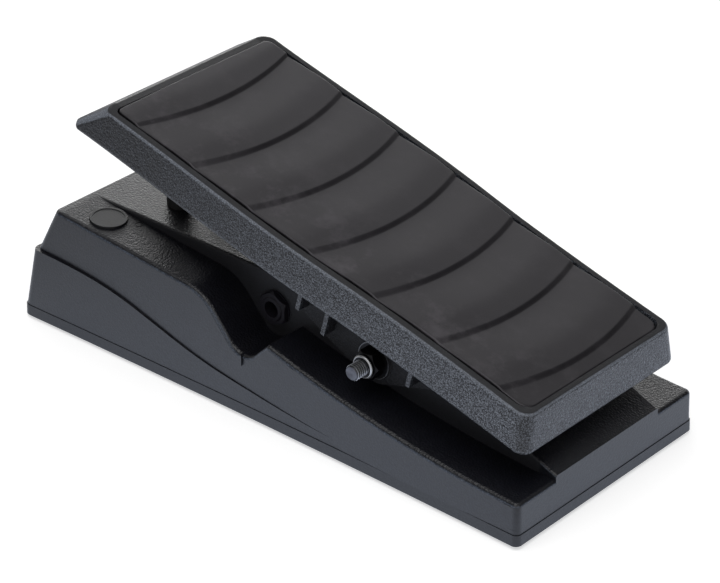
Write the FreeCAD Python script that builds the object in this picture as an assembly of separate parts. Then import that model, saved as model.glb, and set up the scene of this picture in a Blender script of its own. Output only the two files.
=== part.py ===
import FreeCAD, Part
import math
import os

V = FreeCAD.Vector

# A rocker foot pedal in millimetres. X runs from the toe end to the heel end, Y is across the
# pedal, Z is up. Heights are measured from the lower edge of the cover; the rubber feet
# hold it FOOT_PROUD above the floor, and every piece is moved by PLACE when it is saved, so
# that the origin is under the middle of the pedal, on the floor.

# Driving sizes of the base
TOE_END = -1.5
HEEL_END = 241.7
BASE_HALF_WIDTH = 50.3
WAIST = 1.3
COVER_HEIGHT = 4.8
COVER_PROUD = 0.35
DECK_TOP = 50.0
TOE_CORNER = 3.2
HEEL_CORNER = 2.4
HALF = BASE_HALF_WIDTH - COVER_PROUD
MIDDLE = (TOE_END + HEEL_END) / 2

# The base's walls: the toe leans back above TOE_FOOT_Z, the sides and the heel lean in a little
TOE_FOOT = 4.9
TOE_FOOT_Z = 28.4
TOE_HEAD = 17.7
TOE_HEAD_Z = 52.0
SIDE_LEAN = 0.9
HEEL_LEAN_LOW = 0.8
HEEL_LEAN_HIGH = 1.2
RIM_ROUND = 1.6
LEDGE_TOE = 5.6
LEDGE_TOP = 34.0
LEDGE_LEAN = 0.5

# How far shapes that trim the base run past it
PAST = 10.3
TOE_PAST = TOE_END - PAST
HEEL_PAST = HEEL_END + PAST
SIDE_PAST = BASE_HALF_WIDTH + PAST
FLOOR_PAST = -5.0

# The side decks: level to DECK_BREAK, down to the valley, up to its lip, and in one arc to the heel
DECK_BREAK = 20.0
VALLEY_TOE_X = 93.2
VALLEY_TOE_Z = 43.2
VALLEY_FLOOR_X = 112.5
VALLEY_FLOOR_Z = 20.9
VALLEY_LIP_X = 125.0
VALLEY_LIP_Z = 33.4
DECK_MID_X = 177.0
DECK_MID_Z = 22.5
DECK_HEEL_Z = 16.8
SHOULDER_RADIUS = 20.0
VALLEY_RADIUS = 8.6
LIP_RADIUS = 1.6

# The hump along the middle of the base
HUMP_HALF_WIDTH = 29.0
HUMP_START = 19.0
RAMP_START = 166.8
RAMP_SLOPE = 0.419
HUMP_WALL = 3.0
HUMP_ROUND = 1.0
DECK_WALL = 3.4

# The sockets, in the hump's walls behind the valley
JACK_X = 112.4
JACK_Z = 36.6
NECK_RADIUS = 4.75
PLUG_RADIUS = 3.22
NUT_ACROSS = 12.0

# The treadle, in its own frame: u from the toe edge to the heel, w square to its top face
TILT = 15.13
TREADLE_LENGTH = 202.7
TREADLE_TOE_HALF = 43.7
TREADLE_HEEL_HALF = 41.0
SKIRT_DEPTH = 14.9
TOE_OVERHANG = 13.9
HEEL_SPREAD = 4.7
SIDE_SPREAD = 2.3
SHELL = 2.6
TOE_WALL = 3.6
TOE_RIM = 3.1
SIDE_RIM = 2.9
HEEL_RIM = 2.6
RECESS_DEPTH = 2.4
PLATE = 2.8
MAT_GAP = 0.3

# The pivot, in the base and in the treadle's own frame
PIVOT_X = 163.3
PIVOT_Z = 36.2
PIVOT_U = 133.7
PIVOT_W = -28.7
BOLT_RADIUS = 3.0
BOLT_CLEARANCE = 0.05
BUSH_RADIUS = 5.0
BUSH_FLANGE_RADIUS = 7.0
BUSH_FLANGE = 0.8
EAR_CLEARANCE = 0.1
EAR_THICKNESS = 2.7
EAR_BOSS_RADIUS = 9.8

# The gear pair that turns the potentiometer
MODULE = 1.0
SECTOR_TEETH = 72
PINION_TEETH = 12
MESH_ANGLE = 205.0
GEAR_WIDTH = 4.0
BACKLASH = 0.16

FOOT_PROUD = 1.0
PLACE = V(-(TOE_END + HEEL_END) / 2, 0, FOOT_PROUD)

os.makedirs("parts", exist_ok=True)


# Plain shapes
def box(x0, x1, y0, y1, z0, z1):
    return Part.makeBox(x1 - x0, y1 - y0, z1 - z0, V(x0, y0, z0))


def rod_y(x, z, radius, y0, y1):
    return Part.makeCylinder(radius, y1 - y0, V(x, y0, z), V(0, 1, 0))


def rod_z(x, y, radius, z0, z1):
    return Part.makeCylinder(radius, z1 - z0, V(x, y, z0), V(0, 0, 1))


def tube_y(x, z, outer, inner, y0, y1):
    return rod_y(x, z, outer, y0, y1).cut(rod_y(x, z, inner, y0 - 1, y1 + 1))


def tube_z(x, y, outer, inner, z0, z1):
    return rod_z(x, y, outer, z0, z1).cut(rod_z(x, y, inner, z0 - 1, z1 + 1))


def hexagon_y(x, z, across_flats, y0, y1, turn=0.0):
    radius = across_flats / math.sqrt(3)
    points = []
    for i in range(7):
        angle = math.radians(60 * i + turn)
        points.append(V(x + radius * math.cos(angle), y0, z + radius * math.sin(angle)))
    face = Part.Face(Part.makePolygon(points))
    return face.extrude(V(0, y1 - y0, 0))


def slab_xz(points, y0, y1):
    corners = [V(x, y0, z) for x, z in points]
    face = Part.Face(Part.makePolygon(corners + corners[:1]))
    return face.extrude(V(0, y1 - y0, 0))


def slab_yz(points, x0, x1):
    corners = [V(x0, y, z) for y, z in points]
    face = Part.Face(Part.makePolygon(corners + corners[:1]))
    return face.extrude(V(x1 - x0, 0, 0))


def mirrored(shape):
    return shape.mirror(V(0, 0, 0), V(0, 1, 0))


def pair(shape):
    return Part.makeCompound([shape, mirrored(shape)])


def edges_where(shape, test):
    return [edge for edge in shape.Edges if test(edge)]


def middle(edge):
    return edge.valueAt((edge.FirstParameter + edge.LastParameter) / 2)


# A plan outline at height z: toe edge at x0, heel edge at x1, sides through (x, half width) points
def outline(z, x0, x1, side, toe_corner, heel_corner):
    slack = 1 - math.sqrt(0.5)
    start_half = side[0][1]
    end_half = side[-1][1]
    first = V(x0 + toe_corner, -start_half, z)
    last = V(x1 - heel_corner, -end_half, z)
    near = [first] + [V(x, -half, z) for x, half in side[1:-1]] + [last]
    curve = Part.BSplineCurve()
    curve.interpolate(near)
    near_side = curve.toShape()
    heel_near = Part.Arc(last, V(x1 - heel_corner * slack, -end_half + heel_corner * slack, z),
                         V(x1, -end_half + heel_corner, z)).toShape()
    heel = Part.LineSegment(V(x1, -end_half + heel_corner, z), V(x1, end_half - heel_corner, z)).toShape()
    toe_near = Part.Arc(V(x0, -start_half + toe_corner, z),
                        V(x0 + toe_corner * slack, -start_half + toe_corner * slack, z), first).toShape()
    toe = Part.LineSegment(V(x0, start_half - toe_corner, z), V(x0, -start_half + toe_corner, z)).toShape()
    far_side = mirrored(near_side)
    heel_far = mirrored(heel_near)
    toe_far = mirrored(toe_near)
    return Part.Wire([near_side, heel_near, heel, heel_far, far_side, toe_far, toe, toe_near])


def loft(wires):
    return Part.makeLoft(wires, True, True)


# Base: side view of the decks, from the toe, through the valley, to the heel
def under_deck(drop):
    valley_toe = V(VALLEY_TOE_X, 0, VALLEY_TOE_Z - drop)
    valley_floor = V(VALLEY_FLOOR_X, 0, VALLEY_FLOOR_Z - drop)
    valley_lip = V(VALLEY_LIP_X, 0, VALLEY_LIP_Z - drop)
    toe_floor = V(TOE_PAST, 0, FLOOR_PAST)
    heel_floor = V(HEEL_PAST, 0, FLOOR_PAST)
    toe_top = V(TOE_PAST, 0, DECK_TOP - drop)
    heel_top = V(HEEL_PAST, 0, DECK_HEEL_Z - drop)
    deck_break = V(DECK_BREAK, 0, DECK_TOP - drop)
    line = [heel_top, heel_floor, toe_floor, toe_top, deck_break, valley_toe, valley_floor, valley_lip]
    edges = [Part.LineSegment(a, b).toShape() for a, b in zip(line, line[1:])]
    edges.append(Part.Arc(valley_lip, V(DECK_MID_X, 0, DECK_MID_Z - drop), heel_top).toShape())
    solid = Part.Face(Part.Wire(edges)).extrude(V(0, 2 * SIDE_PAST, 0))
    solid.translate(V(0, -SIDE_PAST, 0))
    rounds = ((valley_toe, SHOULDER_RADIUS), (valley_floor, VALLEY_RADIUS), (valley_lip, LIP_RADIUS))
    for spot, radius in rounds:
        found = edges_where(solid, lambda e: math.hypot(middle(e).x - spot.x, middle(e).z - spot.z) < 0.1)
        solid = solid.makeFillet(radius, found)
    return solid


def ramp_height(x):
    return DECK_TOP - RAMP_SLOPE * (x - RAMP_START)


def hump_side(drop):
    return [(HUMP_START + drop, FLOOR_PAST), (HUMP_START + drop, DECK_TOP - drop),
            (RAMP_START - drop * RAMP_SLOPE / 2, DECK_TOP - drop), (HEEL_PAST, ramp_height(HEEL_PAST) - drop),
            (HEEL_PAST, FLOOR_PAST)]


# The ledge low on the walls, which sweeps down from the toe and runs out towards the heel
LEDGE = [(TOE_PAST, 30.6), (14, 30.2), (30, 29.2), (43, 27.6), (53, 25.6), (63, 22.9), (73, 20.0), (84, 17.0),
         (97, 14.2), (113, 11.9), (133, 9.6), (165, 7.6), (HEEL_PAST, 6.4)]


def under_ledge():
    curve = Part.BSplineCurve()
    curve.interpolate([V(x, -SIDE_PAST, z) for x, z in LEDGE])
    line = [V(HEEL_PAST, -SIDE_PAST, LEDGE[-1][1]), V(HEEL_PAST, -SIDE_PAST, FLOOR_PAST),
            V(TOE_PAST, -SIDE_PAST, FLOOR_PAST), V(TOE_PAST, -SIDE_PAST, LEDGE[0][1])]
    edges = [Part.LineSegment(a, b).toShape() for a, b in zip(line, line[1:])]
    return Part.Face(Part.Wire(edges + [curve.toShape()])).extrude(V(0, 2 * SIDE_PAST, 0))


def waisted(half):
    return [(TOE_END, half), (MIDDLE, half - WAIST), (HEEL_END, half)]


# The upper walls stand in from the ledge by these amounts along the base
UPPER_INSETS = [(TOE_END, 1.3), (70, 1.75), (125, 1.65), (180, 0.75), (HEEL_END, 0.05)]


def upper_side(lean):
    return [(x, HALF - inset - lean) for x, inset in UPPER_INSETS]


ledge_foot = outline(COVER_HEIGHT, TOE_END + COVER_PROUD, HEEL_END - COVER_PROUD, waisted(HALF),
                     TOE_CORNER, HEEL_CORNER)
ledge_head = outline(LEDGE_TOP, LEDGE_TOE, HEEL_END - HEEL_LEAN_LOW, waisted(HALF - LEDGE_LEAN),
                     TOE_CORNER, HEEL_CORNER)
lower_body = loft([ledge_foot, ledge_head]).common(under_ledge())
wall_foot = outline(COVER_HEIGHT, TOE_FOOT, HEEL_END - COVER_PROUD, upper_side(0), TOE_CORNER, HEEL_CORNER)
wall_knee = outline(TOE_FOOT_Z, TOE_FOOT, HEEL_END - HEEL_LEAN_LOW, upper_side(SIDE_LEAN / 2),
                    TOE_CORNER, HEEL_CORNER)
wall_head = outline(TOE_HEAD_Z, TOE_HEAD, HEEL_END - HEEL_LEAN_HIGH, upper_side(SIDE_LEAN),
                    TOE_CORNER, HEEL_CORNER)
plan_body = loft([wall_foot, wall_knee]).fuse(loft([wall_knee, wall_head])).removeSplitter()
upper_body = plan_body.common(under_deck(0))


def is_deck_rim(edge):
    """Edges where a deck meets a wall, without the upright ones and those across a deck."""
    spot = middle(edge)
    way = edge.tangentAt(edge.FirstParameter)
    at_wall = abs(spot.y) > BASE_HALF_WIDTH - 4.3
    at_heel = spot.x > HEEL_END - 3
    at_toe = spot.x < TOE_HEAD - 0.2 and spot.z > DECK_TOP - 2
    upright = abs(way.z) > 0.85 and edge.Length < 40 or abs(way.x) + abs(way.y) < 0.3
    across = abs(way.y) > 0.9 and spot.x > TOE_HEAD + 0.3 and not at_heel
    knee = abs(spot.z - TOE_FOOT_Z) < 0.3 and abs(way.z) < 0.01
    low = spot.z < DECK_HEEL_Z - 2.8
    return (at_wall or at_heel or at_toe) and not (upright or across or knee or low)


upper_body = upper_body.makeFillet(RIM_ROUND, edges_where(upper_body, is_deck_rim))
hump = slab_xz(hump_side(0), -HUMP_HALF_WIDTH, HUMP_HALF_WIDTH).common(plan_body)
long_edges = edges_where(hump, lambda e: e.Length > 40 and abs(middle(e).y) > HUMP_HALF_WIDTH - 1
                         and middle(e).z > COVER_HEIGHT + 10)
hump = hump.makeFillet(HUMP_ROUND, long_edges)
TICK_HALF = 0.3
TICK_LOW = VALLEY_FLOOR_Z - 0.2
TICK_HIGH = VALLEY_FLOOR_Z + 4.7
tick_face = HALF - 1.35
tick = box(VALLEY_FLOOR_X - TICK_HALF, VALLEY_FLOOR_X + TICK_HALF, -tick_face, RIM_ROUND + 2 - tick_face,
           TICK_LOW, TICK_HIGH).common(under_deck(0))
base_outer = lower_body.fuse([upper_body, hump, tick])

# Base: the hollow underneath, open at the bottom for the cover. Each level has its height, its
# toe end, and how far it stands in from the heel and from the sides at toe, middle and heel.
INNER_TOE_CORNER = 4.0
INNER_HEEL_CORNER = 3.0
INNER_LEVELS = [(COVER_HEIGHT - 1, TOE_END + 3.7, 3.4, 4.7, 5.3, 4.5),
                (TOE_FOOT_Z, TOE_FOOT + 4.1, 4.0, 5.1, 5.5, 4.9),
                (TOE_HEAD_Z + 8, TOE_HEAD + 9.1, 4.4, 5.7, 5.9, 5.3)]
inner_wires = []
for level, toe_x, heel_in, toe_in, middle_in, back_in in INNER_LEVELS:
    inner_side = [(TOE_END, BASE_HALF_WIDTH - toe_in), (MIDDLE, BASE_HALF_WIDTH - middle_in),
                  (HEEL_END, BASE_HALF_WIDTH - back_in)]
    inner_wires.append(outline(level, toe_x, HEEL_END - heel_in, inner_side,
                               INNER_TOE_CORNER, INNER_HEEL_CORNER))
inner_plan = loft(inner_wires)
hump_room = slab_xz(hump_side(HUMP_WALL), -HUMP_HALF_WIDTH + HUMP_WALL, HUMP_HALF_WIDTH - HUMP_WALL)
hollow = inner_plan.common(under_deck(DECK_WALL).fuse(hump_room))

# Base: posts for the cover screws, tied to the walls by ribs
POST_SPOTS = [(TOE_END + 26.5, BASE_HALF_WIDTH - 14.3, 44.0), (PIVOT_X - 23.3, BASE_HALF_WIDTH - 12.3, 27.0),
              (HEEL_END - 13.7, BASE_HALF_WIDTH - 12.3, 16.2)]
POST_RADIUS = 3.8
SCREW_RADIUS = 1.25
SCREW_REACH = 10.0
RIB_HALF = 0.9
RIB_IN_WALL = 4.1
COVER_FLOOR = 3.0
posts = []
for post_x, post_y, post_top in POST_SPOTS:
    post = tube_z(post_x, post_y, POST_RADIUS, SCREW_RADIUS, COVER_FLOOR, post_top)
    plug = rod_z(post_x, post_y, POST_RADIUS, COVER_FLOOR + SCREW_REACH, post_top)
    rib = box(post_x - RIB_HALF, post_x + RIB_HALF, post_y + POST_RADIUS - RIB_HALF,
              BASE_HALF_WIDTH - RIB_IN_WALL, COVER_HEIGHT + 1, post_top - 1)
    post = post.fuse([plug, rib])
    posts += [post, mirrored(post)]

# Base: bosses for the pivot bushes, hung from the hump's top by a web
BOSS_RADIUS = 8.5
BOSS_DEPTH = 7.5
BOSS_WEB = 1.0
boss_in = HUMP_HALF_WIDTH - BOSS_DEPTH
bush_boss = rod_y(PIVOT_X, PIVOT_Z, BOSS_RADIUS, -HUMP_HALF_WIDTH + HUMP_WALL / 6, -boss_in)
bush_boss = bush_boss.fuse(box(PIVOT_X - BOSS_WEB, PIVOT_X + BOSS_WEB, -HUMP_HALF_WIDTH + HUMP_WALL / 3,
                               -boss_in - 1.5, PIVOT_Z, DECK_TOP - HUMP_WALL / 3))
bosses = [bush_boss, mirrored(bush_boss)]
base_shell = base_outer.cut(hollow).fuse(posts + bosses)

jack_hole = rod_y(JACK_X, JACK_Z, NECK_RADIUS + 0.1, -HUMP_HALF_WIDTH - 6, -HUMP_HALF_WIDTH + 9)
bush_hole = rod_y(PIVOT_X, PIVOT_Z, BUSH_RADIUS, -HUMP_HALF_WIDTH - 6, -boss_in + 6.5)

# Base: seats for the pads in the sloping decks, and a shallow moulded ring beside the near one
PAD_X = 35.0
PAD_Y = BASE_HALF_WIDTH - 13.1
PAD_RADIUS = 7.1
PAD_DEPTH = 0.8
PAD_PROUD = 0.9
PAD_GAP = 0.15
PAD_RIM = 1.0
pad_slope = math.degrees(math.atan2(DECK_TOP - VALLEY_TOE_Z, VALLEY_TOE_X - DECK_BREAK))
pad_z = DECK_TOP - (PAD_X - DECK_BREAK) * math.tan(math.radians(pad_slope))
MARK_X = 45.4
MARK_Y = -31.6
MARK_RADIUS = 1.6
MARK_WIDTH = 0.4
MARK_DEPTH = 0.2


def pad_disc(radius, low, high):
    disc = rod_z(0, 0, radius, low, high)
    disc.rotate(V(0, 0, 0), V(0, 1, 0), pad_slope)
    disc.translate(V(PAD_X, -PAD_Y, pad_z))
    return disc


pad_seat = pad_disc(PAD_RADIUS + PAD_GAP, -PAD_DEPTH, 2)
mould_mark = tube_z(MARK_X, MARK_Y, MARK_RADIUS, MARK_RADIUS - MARK_WIDTH, VALLEY_TOE_Z, TOE_HEAD_Z)
mould_mark = mould_mark.common(under_deck(-0.05)).cut(under_deck(MARK_DEPTH))
cuts = []
for tool in (jack_hole, bush_hole, pad_seat):
    cuts += [tool, mirrored(tool)]
cuts.append(mould_mark)
base_shell = base_shell.cut(cuts)

# Bumpers on the hump: a pair for the toe, a pair for the heel
BUMPER_Y = 13.0
BUMPER_RADIUS = 5.0
BUMPER_ROUND = 1.2
PEG_RADIUS = 2.0
PEG_DEPTH = 3.0
TOE_BUMPER_X = 48.6
TOE_BUMPER_TOP = 62.0
HEEL_CONTACT_BACK = 37.0
HEEL_CONTACT_U = PIVOT_U + HEEL_CONTACT_BACK
HEEL_CONTACT_W = -10.6
HEEL_BOSS_SLOPE_GAP = 1.35
SEAT_RIM = 1.2
SEAT_RISE = 0.3


def to_base(u, w, tilt=TILT):
    """A point of the treadle's own frame, in the base's frame."""
    angle = math.radians(tilt)
    du = u - PIVOT_U
    dw = w - PIVOT_W
    return (PIVOT_X + du * math.cos(angle) + dw * math.sin(angle),
            PIVOT_Z - du * math.sin(angle) + dw * math.cos(angle))


def bumper(x, y, low, top):
    peg = rod_z(x, y, PEG_RADIUS, low - PEG_DEPTH, low + 1)
    body = rod_z(x, y, BUMPER_RADIUS, low, top)
    rim = edges_where(body, lambda e: middle(e).z > top - 0.1 and e.Length > 2 * BUMPER_RADIUS)
    return body.makeFillet(BUMPER_ROUND, rim).fuse(peg)


heel_x, heel_z = to_base(HEEL_CONTACT_U, HEEL_CONTACT_W)
seat_low = ramp_height(heel_x + BUMPER_RADIUS)
heel_seat_top = ramp_height(heel_x - BUMPER_RADIUS - SEAT_RIM) + SEAT_RISE
heel_seat = rod_z(heel_x, -BUMPER_Y, BUMPER_RADIUS + SEAT_RIM, seat_low - 2, heel_seat_top)
toe_bumper = bumper(TOE_BUMPER_X, -BUMPER_Y, DECK_TOP, TOE_BUMPER_TOP)
heel_bumper = bumper(heel_x, -BUMPER_Y, heel_seat_top, heel_z - HEEL_BOSS_SLOPE_GAP)
peg_holes = []
for peg_x, peg_low in ((TOE_BUMPER_X, DECK_TOP), (heel_x, heel_seat_top)):
    hole = rod_z(peg_x, -BUMPER_Y, PEG_RADIUS, peg_low - PEG_DEPTH, peg_low + 1)
    peg_holes += [hole, mirrored(hole)]
heel_blocks = heel_seat.cut(inner_plan.common(hump_room))
base_shell = base_shell.fuse([heel_blocks, mirrored(heel_blocks)]).cut(peg_holes).removeSplitter()

# Cover: a shallow tray under the base, with seats for the feet and raised bosses inside
COVER_CHAMFER = 0.5
COVER_LEAN = 0.1
TRAY_WALL = 3.2
TRAY_SIDE = 3.7


def cover_outline(z, inset):
    side = waisted(BASE_HALF_WIDTH - inset)
    return outline(z, TOE_END + inset, HEEL_END - inset, side, TOE_CORNER, HEEL_CORNER)


cover = loft([cover_outline(0.0, COVER_CHAMFER), cover_outline(COVER_CHAMFER, 0.0)])
cover = cover.fuse(loft([cover_outline(COVER_CHAMFER, 0.0), cover_outline(COVER_HEIGHT, COVER_LEAN)]))
tray_room = loft([outline(z, TOE_END + TRAY_WALL, HEEL_END - TRAY_WALL, waisted(BASE_HALF_WIDTH - TRAY_SIDE),
                          INNER_TOE_CORNER, INNER_HEEL_CORNER) for z in (COVER_FLOOR, COVER_HEIGHT + 1)])
cover = cover.cut(tray_room)
FOOT_SPOTS = [(x, side * (BASE_HALF_WIDTH - 17.3))
              for x in (TOE_END + 39.5, HEEL_END - 33.7) for side in (-1, 1)]
FOOT_RADIUS = 8.0
FOOT_GAP = 0.2
FOOT_ROUND = 0.5
FOOT_SEAT = 1.0
cover_cuts = [rod_z(x, y, FOOT_RADIUS + FOOT_GAP, -1, FOOT_SEAT) for x, y in FOOT_SPOTS]

# Cover: countersunk holes under the posts
HEAD_RADIUS = 2.9
HEAD_NECK = 1.4
HEAD_HEIGHT = 1.5
HEAD_SUNK = 0.35
HEAD_GAP = 0.15
for post_x, post_y, post_top in POST_SPOTS:
    for side in (-1, 1):
        spot = V(post_x, side * post_y, HEAD_SUNK)
        cover_cuts.append(Part.makeCone(HEAD_RADIUS + HEAD_GAP, HEAD_NECK + HEAD_GAP, HEAD_HEIGHT, spot))
        cover_cuts.append(rod_z(post_x, side * post_y, SCREW_RADIUS + 0.45, -1, COVER_FLOOR + 2))
        cover_cuts.append(rod_z(post_x, side * post_y, HEAD_RADIUS + HEAD_GAP, -1, HEAD_SUNK))

# Cover: bosses that carry the circuit board and the potentiometer's bracket
BOARD_BOSSES = [(x, side * 17.0) for x in (54.0, 92.0) for side in (-1, 1)]
BRACKET_BOSSES = [(118.0, 17.5), (134.0, 17.5)]
BRACKET_LOW = 6.0
BOARD_LOW = 8.0
SMALL_SCREW = 1.0
BOSS_WALL = 2.0
BLIND_FLOOR = 1.2
bosses = []
blind_holes = []
for spots, top, screw in ((BOARD_BOSSES, BOARD_LOW, SMALL_SCREW), (BRACKET_BOSSES, BRACKET_LOW, SCREW_RADIUS)):
    for boss_x, boss_y in spots:
        bosses.append(rod_z(boss_x, boss_y, screw + BOSS_WALL, COVER_FLOOR - 1, top))
        blind_holes.append(rod_z(boss_x, boss_y, screw, BLIND_FLOOR, top + 1))
cover = cover.fuse(bosses).cut(cover_cuts + blind_holes).removeSplitter()

feet = []
for foot_x, foot_y in FOOT_SPOTS:
    foot = rod_z(foot_x, foot_y, FOOT_RADIUS, -FOOT_PROUD, FOOT_SEAT)
    sole = edges_where(foot, lambda e: middle(e).z < -FOOT_PROUD + 0.1 and e.Length > 2 * FOOT_RADIUS)
    feet.append(foot.makeFillet(FOOT_ROUND, sole))


# Screws: a countersunk one from below, a pan head one from above
def cross_slot(x, y, half, reach, low, high):
    arm = box(x - reach, x + reach, y - half, y + half, low, high)
    return arm.fuse(box(x - half, x + half, y - reach, y + reach, low, high))


def countersunk(x, y):
    head = Part.makeCone(HEAD_RADIUS, HEAD_NECK, HEAD_HEIGHT, V(x, y, HEAD_SUNK))
    shank = rod_z(x, y, SCREW_RADIUS, HEAD_SUNK + HEAD_HEIGHT - 0.05, COVER_FLOOR + SCREW_REACH - 1)
    return head.fuse(shank).cut(cross_slot(x, y, 0.35, 1.6, HEAD_SUNK - 0.05, HEAD_SUNK + 0.65))


def pan_head(x, y, seat, tip, radius, head_radius, head_height):
    top = seat + head_height
    head = rod_z(x, y, head_radius, seat, top)
    rim = edges_where(head, lambda e: middle(e).z > top - 0.05 and e.Length > 2 * head_radius)
    head = head.makeFillet(0.4 * head_height, rim).fuse(rod_z(x, y, radius, tip, seat))
    return head.cut(cross_slot(x, y, 0.3, 0.55 * head_radius, top - 0.7, top + 1))


cover_screws = [countersunk(x, side * y) for x, y, top in POST_SPOTS for side in (-1, 1)]

# Sockets: a moulded body with three lugs, a threaded neck through the hump wall, washer and nut
WALL_OUT = -HUMP_HALF_WIDTH
WALL_IN = WALL_OUT + HUMP_WALL
JACK_HALF_LENGTH = 7.5
JACK_HALF_HEIGHT = 7.0
JACK_DEPTH = 20.5
JACK_FLOOR = 2.0
NECK_PROUD = 2.9
THREAD_STEP = 0.8
THREAD_WIDTH = 0.3
THREAD_DEPTH = 0.2
JACK_WASHER = 0.5
JACK_WASHER_RADIUS = 6.6
NUT_FACE = WALL_OUT - 2.4
NUT_BEVEL = 1.3
LUG_LENGTH = 3.7
jack_body = box(JACK_X - JACK_HALF_LENGTH, JACK_X + JACK_HALF_LENGTH, WALL_IN, WALL_IN + JACK_DEPTH,
                JACK_Z - JACK_HALF_HEIGHT, JACK_Z + JACK_HALF_HEIGHT)
jack_body = jack_body.makeFillet(1.0, edges_where(jack_body, lambda e: abs(e.tangentAt(0).y) > 0.9))
jack_neck = rod_y(JACK_X, JACK_Z, NECK_RADIUS, WALL_OUT - NECK_PROUD, WALL_IN + 0.5)
neck_rim = edges_where(jack_neck, lambda e: middle(e).y < WALL_OUT - NECK_PROUD + 0.1
                       and e.Length > 2 * NECK_RADIUS)
jack_neck = jack_neck.makeChamfer(0.4, neck_rim)
for ring in range(3):
    groove_y = WALL_OUT - NECK_PROUD + 0.6 + THREAD_STEP * ring
    jack_neck = jack_neck.cut(tube_y(JACK_X, JACK_Z, NECK_RADIUS + 1, NECK_RADIUS - THREAD_DEPTH,
                                     groove_y, groove_y + THREAD_WIDTH))
lugs = []
for lug_x in (JACK_X - 5, JACK_X, JACK_X + 5):
    lugs.append(box(lug_x - 1, lug_x + 1, WALL_IN + 14.0, WALL_IN + 14.5,
                    JACK_Z - JACK_HALF_HEIGHT - LUG_LENGTH + 0.5, JACK_Z - JACK_HALF_HEIGHT + 0.5))
plug_bore = rod_y(JACK_X, JACK_Z, PLUG_RADIUS, WALL_OUT - NECK_PROUD - 1, WALL_IN + JACK_DEPTH - JACK_FLOOR)
jack = jack_body.fuse([jack_neck] + lugs).cut(plug_bore).removeSplitter()
jack_washer = tube_y(JACK_X, JACK_Z, JACK_WASHER_RADIUS, NECK_RADIUS + 0.1, WALL_OUT - JACK_WASHER, WALL_OUT)
jack_nut = hexagon_y(JACK_X, JACK_Z, NUT_ACROSS, NUT_FACE, WALL_OUT - JACK_WASHER, 30.0)
nut_face_radius = NUT_ACROSS / 2 + 0.1
nut_round = Part.makeCone(nut_face_radius, nut_face_radius + NUT_BEVEL, NUT_BEVEL,
                          V(JACK_X, NUT_FACE, JACK_Z), V(0, 1, 0))
nut_round = nut_round.fuse(rod_y(JACK_X, JACK_Z, nut_face_radius + NUT_BEVEL, NUT_FACE + NUT_BEVEL, WALL_OUT))
jack_nut = jack_nut.common(nut_round).cut(rod_y(JACK_X, JACK_Z, NECK_RADIUS, NUT_FACE - 1, WALL_OUT))

# Pivot: bushes in the hump walls, and the bolt that carries the treadle
FLANGE_FACE = HUMP_HALF_WIDTH + BUSH_FLANGE
bush = rod_y(PIVOT_X, PIVOT_Z, BUSH_RADIUS, -HUMP_HALF_WIDTH, -boss_in)
bush = bush.fuse(rod_y(PIVOT_X, PIVOT_Z, BUSH_FLANGE_RADIUS, -FLANGE_FACE, -HUMP_HALF_WIDTH))
bush_bore = rod_y(PIVOT_X, PIVOT_Z, BOLT_RADIUS + BOLT_CLEARANCE, -FLANGE_FACE - 1, -boss_in + 1)
bush = bush.cut(bush_bore).removeSplitter()

EAR_IN = FLANGE_FACE + EAR_CLEARANCE
EAR_OUT = EAR_IN + EAR_THICKNESS
BOLT_WASHER = 1.6
BOLT_WASHER_RADIUS = 7.1
BOLT_HEX = 10.0
HEX_ROUND = 5.9
HEX_BEVEL = 1.0
BOLT_HEAD = 4.0
NUT_HEIGHT = 6.0
NUT_HEX_HEIGHT = 4.6
COLLAR_RADIUS = 4.5
COLLAR_ROUND = 0.7
BOLT_LENGTH = 80.0
HEAD_FACE = EAR_OUT + BOLT_WASHER
BOLT_TIP = HEAD_FACE - BOLT_LENGTH
BOLT_CHAMFER = 0.5
THREAD_PITCH = 1.0
THREAD_HALF = 0.4
THREAD_ROOT = 2.5
THREAD_OVER = 3.3
FLAT_HEIGHT = 2.4
bolt = rod_y(PIVOT_X, PIVOT_Z, BOLT_RADIUS, BOLT_TIP, HEAD_FACE)
bolt_rim = edges_where(bolt, lambda e: middle(e).y < BOLT_TIP + 0.1 and e.Length > 2 * BOLT_RADIUS)
bolt = bolt.makeChamfer(BOLT_CHAMFER, bolt_rim)
thread_end = -EAR_OUT - BOLT_WASHER - NUT_HEIGHT
turns = int((thread_end - BOLT_TIP) / THREAD_PITCH)
for turn in range(turns + 1):
    root = BOLT_TIP + 0.45 + turn * THREAD_PITCH
    profile = [V(PIVOT_X + THREAD_OVER, root - THREAD_HALF, PIVOT_Z), V(PIVOT_X + THREAD_ROOT, root, PIVOT_Z),
               V(PIVOT_X + THREAD_OVER, root + THREAD_HALF, PIVOT_Z)]
    face = Part.Face(Part.makePolygon(profile + profile[:1]))
    bolt = bolt.cut(face.revolve(V(PIVOT_X, 0, PIVOT_Z), V(0, 1, 0), 360))
head_end = HEAD_FACE + BOLT_HEAD
head = hexagon_y(PIVOT_X, PIVOT_Z, BOLT_HEX, HEAD_FACE, head_end)
head_cone = Part.makeCone(HEX_ROUND, HEX_ROUND - HEX_BEVEL, HEX_BEVEL,
                          V(PIVOT_X, head_end - HEX_BEVEL, PIVOT_Z), V(0, 1, 0))
head = head.common(rod_y(PIVOT_X, PIVOT_Z, HEX_ROUND, HEAD_FACE, head_end - HEX_BEVEL).fuse(head_cone))
flat = box(PIVOT_X - 5, PIVOT_X + 5, -8.0, 3.0, PIVOT_Z + FLAT_HEIGHT, PIVOT_Z + 5)
bolt = bolt.fuse(head).cut(flat).removeSplitter()

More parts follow.
